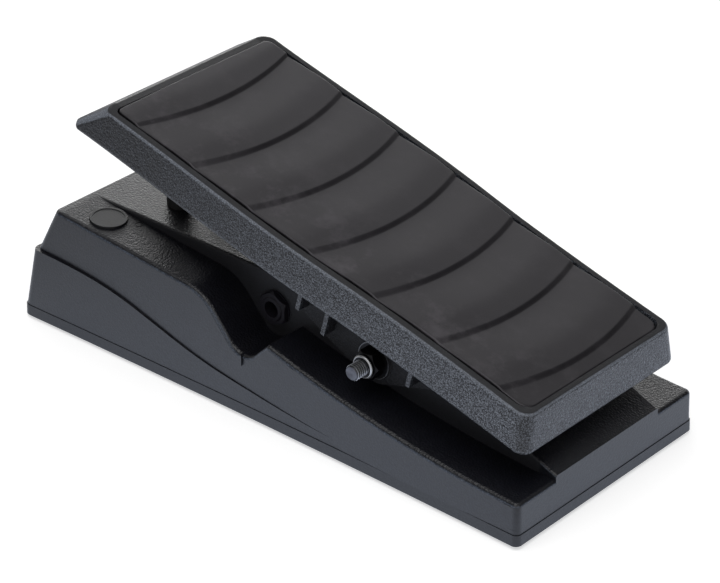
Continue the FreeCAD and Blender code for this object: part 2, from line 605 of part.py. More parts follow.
nut_in = -EAR_OUT - BOLT_WASHER
hex_out = nut_in - NUT_HEX_HEIGHT
lock_nut = hexagon_y(PIVOT_X, PIVOT_Z, BOLT_HEX, hex_out, nut_in)
lock_cone = Part.makeCone(HEX_ROUND - HEX_BEVEL, HEX_ROUND, HEX_BEVEL, V(PIVOT_X, hex_out, PIVOT_Z), V(0, 1, 0))
lock_nut = lock_nut.common(lock_cone.fuse(rod_y(PIVOT_X, PIVOT_Z, HEX_ROUND, hex_out + HEX_BEVEL, nut_in)))
collar = rod_y(PIVOT_X, PIVOT_Z, COLLAR_RADIUS, nut_in - NUT_HEIGHT, hex_out + 0.6)
collar_rim = edges_where(collar, lambda e: middle(e).y < nut_in - NUT_HEIGHT + 0.1
                         and e.Length > 2 * COLLAR_RADIUS)
collar = collar.makeFillet(COLLAR_ROUND, collar_rim)
nut_bore = rod_y(PIVOT_X, PIVOT_Z, BOLT_RADIUS, BOLT_TIP, nut_in + 1)
lock_nut = lock_nut.fuse(collar).cut(nut_bore).removeSplitter()
bolt_washer = tube_y(PIVOT_X, PIVOT_Z, BOLT_WASHER_RADIUS, BOLT_RADIUS, nut_in, -EAR_OUT)


# Gears: straight flanks that follow an involute at four radii
def gear_outline(cx, cz, teeth, first, count, phase):
    pitch = MODULE * teeth / 2
    base = pitch * math.cos(math.radians(20))
    tip = pitch + MODULE
    root = pitch - 1.2 * MODULE
    half_at_pitch = math.pi / (2 * teeth) - BACKLASH / (4 * pitch)
    pitch_roll = math.sqrt((pitch / base) ** 2 - 1)
    pitch_angle = pitch_roll - math.atan(pitch_roll)
    points = []
    for tooth in range(first, first + count):
        centre = phase + 2 * math.pi * tooth / teeth
        flank = []
        for radius in (max(root, base) + 0.001, pitch - 0.35, pitch + 0.35, tip):
            roll = math.sqrt(max((radius / base) ** 2 - 1, 0))
            half = half_at_pitch + pitch_angle - (roll - math.atan(roll))
            flank.append((radius, half))
        if root < base:
            flank = [(root, flank[0][1])] + flank
        for radius, half in flank:
            points.append((cx + radius * math.cos(centre - half), cz + radius * math.sin(centre - half)))
        for radius, half in reversed(flank):
            points.append((cx + radius * math.cos(centre + half), cz + radius * math.sin(centre + half)))
    return points


SECTOR_RADIUS = MODULE * SECTOR_TEETH / 2
PINION_RADIUS = MODULE * PINION_TEETH / 2
CENTRE_DISTANCE = SECTOR_RADIUS + PINION_RADIUS
mesh = math.radians(MESH_ANGLE)
PINION_X = PIVOT_X + CENTRE_DISTANCE * math.cos(mesh)
PINION_Z = PIVOT_Z + CENTRE_DISTANCE * math.sin(mesh)
GEAR_Y0 = -3.0
GEAR_Y1 = GEAR_Y0 + GEAR_WIDTH
HUB_RADIUS = 8.0
HUB_REACH = 4.0
GRUB_RADIUS = 1.5
GRUB_KEY = 0.75
GRUB_LENGTH = 5.2
grub_y = GEAR_Y0 - HUB_REACH / 2
grub_z = PIVOT_Z + FLAT_HEIGHT


def around_pivot(radius, angle):
    return (PIVOT_X + radius * math.cos(math.radians(angle)), PIVOT_Z + radius * math.sin(math.radians(angle)))


teeth_points = gear_outline(PIVOT_X, PIVOT_Z, SECTOR_TEETH, -4, 6, mesh)
sector = slab_xz(teeth_points + [around_pivot(HUB_RADIUS - 1, a) for a in (232, 160)], GEAR_Y0, GEAR_Y1)
window = [around_pivot(radius, angle) for radius, angle in ((13, 184), (28, 190), (28, 206), (13, 211))]
hub = rod_y(PIVOT_X, PIVOT_Z, HUB_RADIUS, GEAR_Y0 - HUB_REACH, GEAR_Y1 + 1)
bore = rod_y(PIVOT_X, PIVOT_Z, BOLT_RADIUS, GEAR_Y0 - HUB_REACH - 1, GEAR_Y1 + 2)
grub_hole = rod_z(PIVOT_X, grub_y, GRUB_RADIUS, grub_z, PIVOT_Z + HUB_RADIUS + 2)
sector = sector.fuse(hub).cut([slab_xz(window, GEAR_Y0 - 1, GEAR_Y1 + 1), bore, grub_hole]).removeSplitter()
grub_screw = rod_z(PIVOT_X, grub_y, GRUB_RADIUS, grub_z, grub_z + GRUB_LENGTH)
grub_screw = grub_screw.cut(rod_z(PIVOT_X, grub_y, GRUB_KEY, grub_z + 3.8, grub_z + GRUB_LENGTH + 0.4))

SHAFT_RADIUS = 3.0
SHAFT_FLAT = 2.2
SHAFT_END = -9.5
PINION_HUB = 4.75
shaft_flat = box(PINION_X - 5, PINION_X + 5, SHAFT_END - 10, 1.5, PINION_Z + SHAFT_FLAT, PINION_Z + 5)
pinion_phase = mesh + math.pi + math.pi / PINION_TEETH
pinion_points = gear_outline(PINION_X, PINION_Z, PINION_TEETH, 0, PINION_TEETH, pinion_phase)
pinion = slab_xz(pinion_points, GEAR_Y0 - 0.5, GEAR_Y1 + 0.5)
pinion = pinion.fuse(rod_y(PINION_X, PINION_Z, PINION_HUB, GEAR_Y0 - 6, GEAR_Y0))
shaft_bore = rod_y(PINION_X, PINION_Z, SHAFT_RADIUS, SHAFT_END - 10, 20).cut(shaft_flat)
pinion = pinion.cut(shaft_bore).removeSplitter()

# Potentiometer on its bracket; its shaft carries the pinion
PLATE_Y0 = 8.0
BRACKET_PLATE = 1.5
PLATE_Y1 = PLATE_Y0 + BRACKET_PLATE
BRACKET_HALF = 11.0
BRACKET_TOP = PINION_Z + 9.5
BRACKET_END = 22.5
POT_RADIUS = 8.5
POT_DEPTH = 8.5
POT_NECK = 3.5
POT_NUT = 2.0
POT_HEX = 10.0
TERMINAL_HALF = 6.2
bracket = box(PINION_X - BRACKET_HALF, PINION_X + BRACKET_HALF, PLATE_Y0, PLATE_Y1, BRACKET_LOW, BRACKET_TOP)
bracket_foot = box(PINION_X - BRACKET_HALF, PINION_X + BRACKET_HALF, PLATE_Y0, BRACKET_END,
                   BRACKET_LOW, BRACKET_LOW + BRACKET_PLATE)
bracket = bracket.fuse(bracket_foot)
top_corners = edges_where(bracket, lambda e: abs(e.tangentAt(0).y) > 0.9 and e.Length < 2 * BRACKET_PLATE
                          and middle(e).z > BRACKET_TOP - 0.5)
bracket = bracket.makeFillet(3.0, top_corners).cut(rod_y(PINION_X, PINION_Z, POT_NECK + 0.1, 0, 20))
for boss_x, boss_y in BRACKET_BOSSES:
    bracket = bracket.cut(rod_z(boss_x, boss_y, SCREW_RADIUS + 0.35, BRACKET_LOW - 1, BRACKET_LOW + 3))
bracket = bracket.removeSplitter()
pot_end = PLATE_Y1 + POT_DEPTH
pot_body = rod_y(PINION_X, PINION_Z, POT_RADIUS, PLATE_Y1, pot_end)
pot_body = pot_body.makeFillet(0.8, edges_where(pot_body, lambda e: middle(e).y > pot_end - 0.1
                                                and e.Length > 2 * POT_RADIUS))
pot_pieces = [rod_y(PINION_X, PINION_Z, POT_NECK, 3.0, PLATE_Y1 + 0.5),
              box(PINION_X - TERMINAL_HALF, PINION_X + TERMINAL_HALF, PLATE_Y1 + 1.5, PLATE_Y1 + 3.0,
                  PINION_Z + 7.0, PINION_Z + 10.0)]
for pin_x in (PINION_X - 5, PINION_X, PINION_X + 5):
    pot_pieces.append(box(pin_x - 0.5, pin_x + 0.5, PLATE_Y1 + 2.0, PLATE_Y1 + 2.5,
                          PINION_Z + 9.5, PINION_Z + 10.6))
pot_bore = rod_y(PINION_X, PINION_Z, SHAFT_RADIUS + BOLT_CLEARANCE, 0, PLATE_Y1 + 5)
pot_body = pot_body.fuse(pot_pieces).cut(pot_bore).removeSplitter()
pot_nut = hexagon_y(PINION_X, PINION_Z, POT_HEX, PLATE_Y0 - POT_NUT, PLATE_Y0)
pot_nut = pot_nut.cut(rod_y(PINION_X, PINION_Z, POT_NECK, 0, 20))
pot_shaft = rod_y(PINION_X, PINION_Z, SHAFT_RADIUS, SHAFT_END, PLATE_Y1 + 4.8).cut(shaft_flat)

# Circuit board with a few parts on it
BOARD_HIGH = BOARD_LOW + 1.6
board = box(49, 97, -21, 21, BOARD_LOW, BOARD_HIGH)
board = board.makeFillet(2.0, edges_where(board, lambda e: abs(e.tangentAt(0).z) > 0.9))
for boss_x, boss_y in BOARD_BOSSES:
    board = board.cut(rod_z(boss_x, boss_y, SMALL_SCREW + 0.3, 0, 20))
board_parts = [rod_z(62, 8, 3.0, BOARD_HIGH, BOARD_HIGH + 9), rod_z(62, -6, 2.5, BOARD_HIGH, BOARD_HIGH + 7),
               box(72, 82, -3.2, 3.2, BOARD_HIGH, BOARD_HIGH + 3.4),
               box(86, 91, -12, -2, BOARD_HIGH, BOARD_HIGH + 6), box(86, 91, 2, 12, BOARD_HIGH, BOARD_HIGH + 6)]
for part_y in (-14, -10, 10, 14):
    board_parts.append(Part.makeCylinder(1.2, 6.5, V(70, part_y, BOARD_HIGH + 1.2), V(1, 0, 0)))
inner_screws = [pan_head(x, y, BOARD_HIGH, 2.0, SMALL_SCREW, 2.0, 1.5) for x, y in BOARD_BOSSES]
inner_screws += [pan_head(x, y, BRACKET_LOW + BRACKET_PLATE, 1.6, SCREW_RADIUS, 2.5, 1.8)
                 for x, y in BRACKET_BOSSES]

# Treadle, modelled level in its own frame and tilted at the end
TREADLE_SIDE = [(0, TREADLE_TOE_HALF), (50, TREADLE_TOE_HALF), (90, TREADLE_TOE_HALF - 0.1),
                (108, TREADLE_TOE_HALF - 0.8), (125, TREADLE_TOE_HALF - 1.8), (142, TREADLE_HEEL_HALF + 0.3),
                (160, TREADLE_HEEL_HALF), (TREADLE_LENGTH, TREADLE_HEEL_HALF)]
TREADLE_TOE_CORNER = 6.0
TREADLE_HEEL_CORNER = 5.2
SKIRT_TOE_CORNER = 3.4
SKIRT_HEEL_CORNER = 4.6
INSIDE_CORNER = 5.0
RECESS_TOE_CORNER = 3.0
RECESS_HEEL_CORNER = 5.0
TOP_ROUND = 1.5
TIP_ROUND = 1.6
UNDERSIDE = -RECESS_DEPTH - PLATE


def treadle_outline(w, toe, heel, grow, toe_corner, heel_corner):
    side = [(u, half + grow) for u, half in TREADLE_SIDE]
    return outline(w, toe, heel, side, toe_corner, heel_corner)


top_outline = treadle_outline(0, 0, TREADLE_LENGTH, 0, TREADLE_TOE_CORNER, TREADLE_HEEL_CORNER)
skirt_outline = treadle_outline(-SKIRT_DEPTH, -TOE_OVERHANG, TREADLE_LENGTH + HEEL_SPREAD, SIDE_SPREAD,
                                SKIRT_TOE_CORNER, SKIRT_HEEL_CORNER)
shell = loft([top_outline, skirt_outline])
shell = shell.makeFillet(TOP_ROUND, edges_where(shell, lambda e: abs(middle(e).z) < 0.01))
shell = shell.makeFillet(TIP_ROUND, edges_where(shell, lambda e: abs(middle(e).z + SKIRT_DEPTH) < 0.01
                                                and middle(e).x < -TOE_OVERHANG + 3))


def inner_outline(w):
    share = -w / SKIRT_DEPTH
    return treadle_outline(w, -TOE_OVERHANG * share + TOE_WALL, TREADLE_LENGTH + HEEL_SPREAD * share - SHELL,
                           SIDE_SPREAD * share - SHELL, INSIDE_CORNER, INSIDE_CORNER)


shell = shell.cut(loft([inner_outline(UNDERSIDE), inner_outline(-SKIRT_DEPTH - 0.1)]))
shell = shell.cut(loft([treadle_outline(w, TOE_RIM, TREADLE_LENGTH - HEEL_RIM, -SIDE_RIM, RECESS_TOE_CORNER,
                                        RECESS_HEEL_CORNER) for w in (-RECESS_DEPTH, 1.0)]))

# Treadle: ears with gussets, ribs under the plate, and pads for the bumpers
EAR_TOE = [(93.5, UNDERSIDE + 1), (96.5, -31.0), (110, -34.4), (121, -36.6)]
EAR_HEEL = [(160, -23.6), (171, -16.0), (174, UNDERSIDE + 1)]
EAR_STEPS = 7
EAR_FIRST_ANGLE = 244
EAR_STEP_ANGLE = 11.5
ear_points = list(EAR_TOE)
for step in range(EAR_STEPS):
    ear_angle = math.radians(EAR_FIRST_ANGLE + step * EAR_STEP_ANGLE)
    ear_points.append((PIVOT_U + EAR_BOSS_RADIUS * math.cos(ear_angle),
                       PIVOT_W + EAR_BOSS_RADIUS * math.sin(ear_angle)))
ear = slab_xz(ear_points + EAR_HEEL, -EAR_OUT, -EAR_IN)
ear = ear.cut(rod_y(PIVOT_U, PIVOT_W, BOLT_RADIUS + 0.1, -EAR_OUT - 1, -EAR_IN + 1))
GUSSETS = [(99.8, -27.3), (112.8, -29.8), (152.3, -24.9)]
GUSSET_REACH = 5.6
GUSSET_HALF = 0.9
supports = [ear, mirrored(ear)]
for gusset_u, gusset_w in GUSSETS:
    gusset = box(gusset_u - GUSSET_HALF, gusset_u + GUSSET_HALF, -EAR_OUT - GUSSET_REACH, -EAR_OUT + 0.3,
                 gusset_w, UNDERSIDE + 0.5)
    supports += [gusset, mirrored(gusset)]
RIB_LOW = UNDERSIDE - 3.6
CROSS_RIBS = [32, 64, GUSSETS[0][0], GUSSETS[-1][0], TREADLE_LENGTH - 17.7]
LONG_RIBS = [-22, 0, 22]
cross_half = TREADLE_HEEL_HALF - 3
for rib_u in CROSS_RIBS:
    supports.append(box(rib_u - RIB_HALF, rib_u + RIB_HALF, -cross_half, cross_half, RIB_LOW, UNDERSIDE + 0.5))
for rib_y in LONG_RIBS:
    supports.append(box(2, TREADLE_LENGTH - 4.7, rib_y - RIB_HALF, rib_y + RIB_HALF, RIB_LOW, UNDERSIDE + 0.5))
heel_boss = rod_z(HEEL_CONTACT_U, -BUMPER_Y, BUMPER_RADIUS + 1, HEEL_CONTACT_W, UNDERSIDE + 0.5)
supports += [heel_boss, mirrored(heel_boss)]
shell = shell.fuse(supports).removeSplitter()

# Mat: shingled panels, each swelling to a brow and ending in an arc that is a small step down
MAT_TOE = TOE_RIM + MAT_GAP
MAT_HEEL = TREADLE_LENGTH - HEEL_RIM - MAT_GAP
MAT_LOW = -RECESS_DEPTH
MAT_ROOM = 2.0
mat_block = loft([treadle_outline(w, MAT_TOE, MAT_HEEL, -SIDE_RIM - MAT_GAP, RECESS_TOE_CORNER - MAT_GAP,
                                  RECESS_HEEL_CORNER - MAT_GAP) for w in (MAT_LOW, MAT_ROOM)])
ARC_RADIUS = 123.6
ARC_SAG = 7.0
ARC_PITCH = 28.85
ARC_COUNT = 7
FIRST_ARC = 14.5
PANEL_LOW = -0.25
PANEL_BROW = 0.88
BROW_BACK = 11.5
PANEL_CREST = 0.7
CREST_BACK = 2.2
panels = [mat_block.common(box(MAT_TOE, MAT_HEEL, -SIDE_PAST, SIDE_PAST, MAT_LOW, PANEL_LOW))]
behind = None
for panel in range(ARC_COUNT):
    crown = FIRST_ARC + ARC_SAG + panel * ARC_PITCH
    centre = crown - ARC_RADIUS
    section = [V(centre, 0, MAT_LOW), V(crown, 0, MAT_LOW), V(crown, 0, PANEL_LOW),
               V(crown - CREST_BACK, 0, PANEL_CREST), V(crown - BROW_BACK, 0, PANEL_BROW),
               V(crown - ARC_PITCH, 0, PANEL_LOW), V(centre, 0, PANEL_LOW)]
    disc = Part.Face(Part.makePolygon(section + section[:1])).revolve(V(centre, 0, 0), V(0, 0, 1), 360)
    piece = mat_block.common(disc)
    if behind is not None:
        piece = piece.cut(behind)
    behind = rod_z(centre, 0, ARC_RADIUS, MAT_LOW - 1, MAT_ROOM + 1)
    panels.append(piece)
mat = panels[0].fuse(panels[1:]).removeSplitter()


def tilted(shape):
    """Move a piece from the treadle's own frame to its place over the base."""
    shape = shape.copy()
    shape.translate(V(-PIVOT_U, 0, -PIVOT_W))
    shape.rotate(V(0, 0, 0), V(0, 1, 0), TILT)
    shape.translate(V(PIVOT_X, 0, PIVOT_Z))
    return shape


# Pads let into the side decks, with a raised ring
pad = pad_disc(PAD_RADIUS, -PAD_DEPTH, PAD_PROUD)
pad = pad.cut(pad_disc(PAD_RADIUS - PAD_RIM, PAD_PROUD - 0.2, PAD_PROUD + 1))

NODES = {
    "base_shell": base_shell,
    "bottom_cover": cover,
    "rubber_feet": Part.makeCompound(feet),
    "cover_screws": Part.makeCompound(cover_screws),
    "deck_pads": pair(pad),
    "toe_bumpers": pair(toe_bumper),
    "heel_bumpers": pair(heel_bumper),
    "output_jack": jack,
    "input_jack": mirrored(jack),
    "jack_washers": pair(jack_washer),
    "jack_nuts": pair(jack_nut),
    "pivot_bushes": pair(bush),
    "pot_bracket": bracket,
    "potentiometer": pot_body,
    "pot_nut": pot_nut,
    "circuit_board": board,
    "board_parts": Part.makeCompound(board_parts),
    "inner_screws": Part.makeCompound(inner_screws),
    "treadle_shell": tilted(shell),
    "tread_mat": tilted(mat),
    "pivot_bolt": bolt,
    "lock_nut": lock_nut,
    "bolt_washers": pair(bolt_washer),
    "gear_sector": sector,
    "sector_screw": grub_screw,
    "pot_shaft": pot_shaft,
    "pinion": pinion,
}

for name, shape in NODES.items():
    placed = shape.copy()
    placed.translate(PLACE)
    placed.exportStep("parts/" + name + ".step")
    print(name, len(shape.Solids), round(shape.Volume, 1), shape.isValid())
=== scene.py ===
# %% [markdown]
# # A rocker foot pedal
# A musician's foot tilts the treadle, and a gear under it turns a potentiometer. The solid parts
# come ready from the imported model, at their real size in metres, and stay as they are. This
# script gives each of them its finish, makes the ribbed rubber mat that the shoe stands on, and
# sets a white studio around the pedal.

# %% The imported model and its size
import math

import bpy
import numpy as np
from mathutils import Matrix, Vector


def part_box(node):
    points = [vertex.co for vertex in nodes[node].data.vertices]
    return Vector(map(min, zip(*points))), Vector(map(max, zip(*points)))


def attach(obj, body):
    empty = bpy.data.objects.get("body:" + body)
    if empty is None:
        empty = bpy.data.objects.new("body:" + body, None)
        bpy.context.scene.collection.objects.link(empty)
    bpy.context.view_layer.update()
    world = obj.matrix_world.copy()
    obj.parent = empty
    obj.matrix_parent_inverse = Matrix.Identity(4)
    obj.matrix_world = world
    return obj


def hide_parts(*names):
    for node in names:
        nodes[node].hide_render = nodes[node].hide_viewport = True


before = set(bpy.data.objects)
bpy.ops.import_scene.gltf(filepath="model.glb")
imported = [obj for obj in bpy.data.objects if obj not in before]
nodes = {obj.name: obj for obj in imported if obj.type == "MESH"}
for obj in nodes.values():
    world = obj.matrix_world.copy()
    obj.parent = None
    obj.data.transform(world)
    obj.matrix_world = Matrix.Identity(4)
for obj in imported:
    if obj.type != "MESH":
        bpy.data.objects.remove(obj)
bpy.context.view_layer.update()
MM = 0.001
MM_IN_M = 1000
print("parts in the model:", len(nodes))

# %% [markdown]
# ## Finishes as arithmetic
# A finish is a tree of shader nodes. Drawing each link by hand hides the idea, so a small class
# wraps a socket and lets Python's own operators add the Math nodes: 1 - worn * 0.3 reads as it
# is meant. Every other node comes from one method that takes the node's type, its settings and
# what goes into its sockets.


# %% A socket that does arithmetic, and a tree that makes nodes
class Sock:
    """One output of a node tree. Adding, subtracting or multiplying makes a Math node."""

    def __init__(self, tree, socket):
        self.tree = tree
        self.socket = socket

    def reckon(self, operation, first, second):
        return self.tree.node("ShaderNodeMath", {"operation": operation}, {0: first, 1: second})

    def __add__(self, other):
        return self.reckon("ADD", self, other)

    def __sub__(self, other):
        return self.reckon("SUBTRACT", self, other)

    def __rsub__(self, other):
        return self.reckon("SUBTRACT", other, self)

    def __mul__(self, other):
        return self.reckon("MULTIPLY", self, other)

    __radd__ = __add__
    __rmul__ = __mul__


class Tree:
    """A node tree of a material or of the world."""

    def __init__(self, node_tree):
        self.node_tree = node_tree

    def feed(self, socket, value):
        if isinstance(value, Sock):
            self.node_tree.links.new(value.socket, socket)
        else:
            socket.default_value = value

    def node(self, kind, settings, inputs, out=0):
        """Any node: its settings first, then the values or links of its sockets."""
        made = self.node_tree.nodes.new(kind)
        for name, value in settings.items():
            setattr(made, name, value)
        for name, value in inputs.items():
            self.feed(made.inputs[name], value)
        return Sock(self, made.outputs[out])

    def step(self, value, low, high, start=0.0, end=1.0):
        """start below low, end above high and an S-shaped rise between."""
        return self.node("ShaderNodeMapRange", {"interpolation_type": "SMOOTHSTEP"}, {
            "Value": value, "From Min": low, "From Max": high, "To Min": start, "To Max": end})

    def vector(self, operation, first, second, out="Value"):
        """Arithmetic on two vectors, such as their distance or dot product."""
        return self.node("ShaderNodeVectorMath", {"operation": operation}, {0: first, 1: second}, out)

    def ray(self, kind):
        """1 for the rays of one kind, such as Camera or Glossy, and 0 for all others."""
        return self.node("ShaderNodeLightPath", {}, {}, f"Is {kind} Ray")


def srgb(red, green, blue):
    """A colour as a picture's 0 to 255 values, in the linear numbers that a shader takes."""
    share = np.array([red, green, blue]) / 255
    linear = np.where(share <= 0.04045, share / 12.92, ((share + 0.055) / 1.055) ** 2.4)
    return (*linear.tolist(), 1.0)


print("charcoal in linear numbers:", [round(c, 4) for c in srgb(38, 39, 43)])

# %% [markdown]
# ## Patterns that sit on the part
# A moulded pedal is never one flat colour. Its mould was etched with a pebble grain under a
# millimetre across, it cooled unevenly, and hands and shoes have dulled it. Each of these is a
# pattern on Object coordinates, so that it stays on the part when the treadle tilts.


# %% A finish with its patterns
class Finish(Tree):
    """A material with one Principled shader. Sizes of its patterns are in millimetres."""

    def __init__(self, name):
        self.material = bpy.data.materials.new(name)
        self.material.use_nodes = True
        super().__init__(self.material.node_tree)
        self.shader = self.node_tree.nodes["Principled BSDF"]
        self.place = self.node("ShaderNodeTexCoord", {}, {}, "Object")

    def mottle(self, size, detail=2.0, roughness=0.5):
        """Soft noise from 0 to 1 whose patches are about size across."""
        return self.node("ShaderNodeTexNoise", {}, {
            "Vector": self.place, "Scale": MM_IN_M / size, "Detail": detail, "Roughness": roughness})

    def patches(self, size, detail, roughness, low, high):
        """The same noise as patches: 0 where it is below low, 1 where it is above high."""
        return self.step(self.mottle(size, detail, roughness), low, high)

    def pebbles(self, size):
        """Rounded bumps size apart: smooth distance to the nearest of scattered points, turned over."""
        cells = self.node("ShaderNodeTexVoronoi", {"feature": "SMOOTH_F1"}, {
            "Vector": self.place, "Scale": MM_IN_M / size, "Smoothness": 0.6})
        return 1 - cells

    def past(self, value, limit, blur):
        """0 before limit and 1 past it, over a blur each way."""
        return self.step(value, limit - blur, limit + blur)

    def blend(self, share, start, end):
        """start where share is 0, end where it is 1, both colours."""
        return self.node("ShaderNodeMix", {"data_type": "RGBA"}, {0: share, 6: start, 7: end}, 2)

    def relief(self, height, depth):
        """A normal from a height of 0 to 1, depth millimetres deep."""
        return self.node("ShaderNodeBump", {}, {"Height": height, "Distance": depth * MM}, "Normal")

    def part(self, axis):
        """One Object coordinate, in metres."""
        return self.node("ShaderNodeSeparateXYZ", {}, {"Vector": self.place}, axis)

    def size_of(self, value):
        return self.node("ShaderNodeMath", {"operation": "ABSOLUTE"}, {0: value})

    def off_axis(self, spot):
        """Distance from the line along Y through spot, in millimetres."""
        flat = self.vector("MULTIPLY", self.place, (1, 0, 1), "Vector")
        return self.vector("DISTANCE", flat, (spot[0], 0, spot[2])) * MM_IN_M

    def upward(self):
        """The height part of the surface's direction: 1 on a level top, 0 on a wall."""
        direction = self.node("ShaderNodeNewGeometry", {}, {}, "Normal")
        return self.node("ShaderNodeSeparateXYZ", {}, {"Vector": direction}, "Z")

    def shade(self, **values):
        """Fill the shader's sockets; an underscore in a name stands for a space."""
        for name, value in values.items():
            self.feed(self.shader.inputs[name.replace("_", " ")], value)
        return self.material


def dress(material, *names):
    for name in names:
        slots = nodes[name].material_slots
        for slot in slots:
            slot.material = material
    print(material.name, "on", ", ".join(names))


# %% [markdown]
# ## Charcoal moulding
# The base and the treadle are the same dark bluish plastic, moulded against etched steel. The
# grain is coarse on the treadle's skirt and on the decks, and finer on the base's walls, whose
# mould was pulled past them. Pale specks are painted on the skirt's grain peaks as glints, more of
# them towards the heel, where the skirt's sheen grows, and a pale highlight line is painted along
# its upper edge; the base and the cover get a few such glints, and the base's ledge a fainter line.
# A bump node gives the grain: real displacement would need millions of faces for a relief of a
# few tenths of a millimetre.


# %% Plastic of the base, the cover and the treadle
HUE = dict(size=1.7, detail=3.0, roughness=0.7, low=0.35, high=0.65)
DUST = dict(size=5.0, detail=4.0, roughness=0.65, low=0.52, high=0.78)
PEAKS = dict(size=0.5, detail=2.0, roughness=0.8, low=0.45, high=0.62)
CLOUD_SIZE = 46.0
CLOUD_RANGE = (0.3, 0.7)
PEBBLE_SIZE = 0.8
PEBBLE_SHARE = 0.7
FINE_SIZE = 0.45

# What the patterns add to the pale colour's share, and to the roughness
CLOUD_TINT = 0.4
DUST_TINT = 0.2
HUE_TINT = 0.4
CLOUD_DULL = 0.10
DUST_DULL = 0.05
GRAIN_DULL = 0.10

# Places along the pedal, and how soft the outside's borders are, in millimetres
TOE_END = -95.0
HEEL_FACE = 114.5
HEEL_BLUR = 0.8
SKIRT_BLUR = 0.6

# How far upward a surface looks: tops, and the rounded edges of the skirt and of the ledge, where a
# highlight line is painted
TOP_SLOPES = (0.25, 0.75)
SKIRT_LINE = (0.30, 0.50, 0.78, 0.90)
LEDGE_LINE = (0.14, 0.26, 0.46, 0.62)

# Shares of the painted glints and highlight line, and of dullness
HEEL_GLINT_LOSS = 0.3
EDGE_PEAKS = 0.5
SHELTERED = 0.30


def moulding(name, deep, pale, highlight_colour, depth, gloss, wall=1.0, crown=1.0, skirt=0.0, glint_share=0.08,
             toe_glint_share=1.0, line=SKIRT_LINE, edge_highlight=0.0, rim=0.0):
    """Charcoal plastic: deep mottled towards pale, its grain depth millimetres deep, of which walls
    have the share wall and tops the share crown. The outside, over skirt millimetres from the middle
    line or at the heel, has a pale colour painted on it: glints on its grain peaks, fewer at the heel
    and fading towards the toe, and a highlight line along the edge whose slopes are line. The
    outside's tops are rougher by rim, and all other walls, which nothing rubs, by SHELTERED."""
    finish = Finish(name)
    cloud = finish.mottle(CLOUD_SIZE, 3.0)
    hue = finish.patches(**HUE)
    fine = finish.mottle(FINE_SIZE)
    dust = finish.patches(**DUST)
    slope = finish.upward()
    top = finish.step(slope, *TOP_SLOPES)
    grain = finish.pebbles(PEBBLE_SIZE) * PEBBLE_SHARE + fine * (1 - PEBBLE_SHARE)
    peak = finish.patches(**PEAKS)
    outer = finish.past(finish.size_of(finish.part("Y")) * MM_IN_M, skirt, SKIRT_BLUR)
    heel = finish.step(finish.part("X") * MM_IN_M, HEEL_FACE - HEEL_BLUR, HEEL_FACE)
    outside = 1 - (1 - outer) * (1 - heel)
    along = finish.step(finish.part("X") * MM_IN_M, TOE_END, HEEL_FACE)
    # painted glints: pale specks on the grain peaks, more towards the heel where the sheen grows
    painted_glints = peak * glint_share * (toe_glint_share + along * (1 - toe_glint_share)) * (1 - heel * HEEL_GLINT_LOSS)
    edge = finish.step(slope, line[0], line[1]) * (1 - finish.step(slope, line[2], line[3]))
    # painted highlights: pale colour on the outside, as glints and as a highlight line along its rounded
    # edge
    painted_highlights = outside * (painted_glints * (1 - top) + edge * (edge_highlight + peak * EDGE_PEAKS))
    mixed = finish.step(cloud, *CLOUD_RANGE) * CLOUD_TINT + dust * DUST_TINT + hue * HUE_TINT
    coat = finish.blend(mixed, srgb(*deep), srgb(*pale))
    rough = gloss + (cloud - 0.5) * CLOUD_DULL + dust * DUST_DULL + (1 - grain) * GRAIN_DULL
    duller = (1 - outside) * (1 - top) * SHELTERED + outside * top * rim
    return finish.shade(
        Base_Color=finish.blend(painted_highlights, coat, srgb(*highlight_colour)),
        Roughness=rough + duller,
        Normal=finish.relief(grain * (wall + top * (crown - wall)), depth),
        IOR=1.54)


# pale colour painted as glints and a highlight line: many on the treadle's skirt, few on base and cover
base_plastic = moulding(
    "charcoal_base_plastic", deep=(11, 10, 16), pale=(19, 21, 29), highlight_colour=(94, 104, 120), depth=0.22,
    gloss=0.32, wall=0.3, skirt=38.0, line=LEDGE_LINE, edge_highlight=0.2)
treadle_plastic = moulding(
    "charcoal_treadle_plastic", deep=(11, 10, 15), pale=(24, 26, 33), highlight_colour=(130, 136, 147), depth=0.32,
    gloss=0.34, crown=0.2, skirt=37.0, glint_share=0.92, toe_glint_share=0.22, edge_highlight=0.45, rim=0.26)
cover_plastic = moulding(
    "charcoal_cover_plastic", deep=(14, 14, 19), pale=(24, 26, 32), highlight_colour=(60, 63, 70), depth=0.06,
    gloss=0.40)
dress(base_plastic, "base_shell")
dress(treadle_plastic, "treadle_shell")
dress(cover_plastic, "bottom_cover")

# %% [markdown]
# ## Rubber
# Feet, bumpers and the small pads in the decks are dull: rubber scatters a highlight widely and
# has next to no grain, only a fine bloom that greys it in patches. The mat is rubber too, and
# shoes have left pale scuffs on it, most of them towards the near side.


# %% Rubber of the pads, bumpers, feet and mat
BLOOM = dict(size=9.0, detail=4.0, roughness=0.6, low=0.35, high=0.75)
SMEAR = dict(size=14.0, detail=7.0, roughness=0.72, low=0.46, high=0.70)
TOOTH = dict(size=0.5, detail=3.0, roughness=0.6)
PATCH_SHARE = 0.7
PATCH_DULL = 0.06
MAT_PATCH_DULL = 0.05

# The mat's scuffs: a little everywhere, more by the near side, and what they add to the roughness
SCUFF_REACH = 36.0
SCUFF_LEAST = 0.15
SCUFF_NEAR = 0.55
SCUFF_DULL = 0.10


def bloomed(finish, colour, bloom):
    """What all the rubber has: patches of bloom, a fine tooth, and the colour that the two give."""
    patch = finish.patches(**BLOOM)
    tooth = finish.mottle(**TOOTH)
    share = patch * PATCH_SHARE + tooth * (1 - PATCH_SHARE)
    return patch, tooth, finish.blend(share, srgb(*colour), srgb(*bloom))


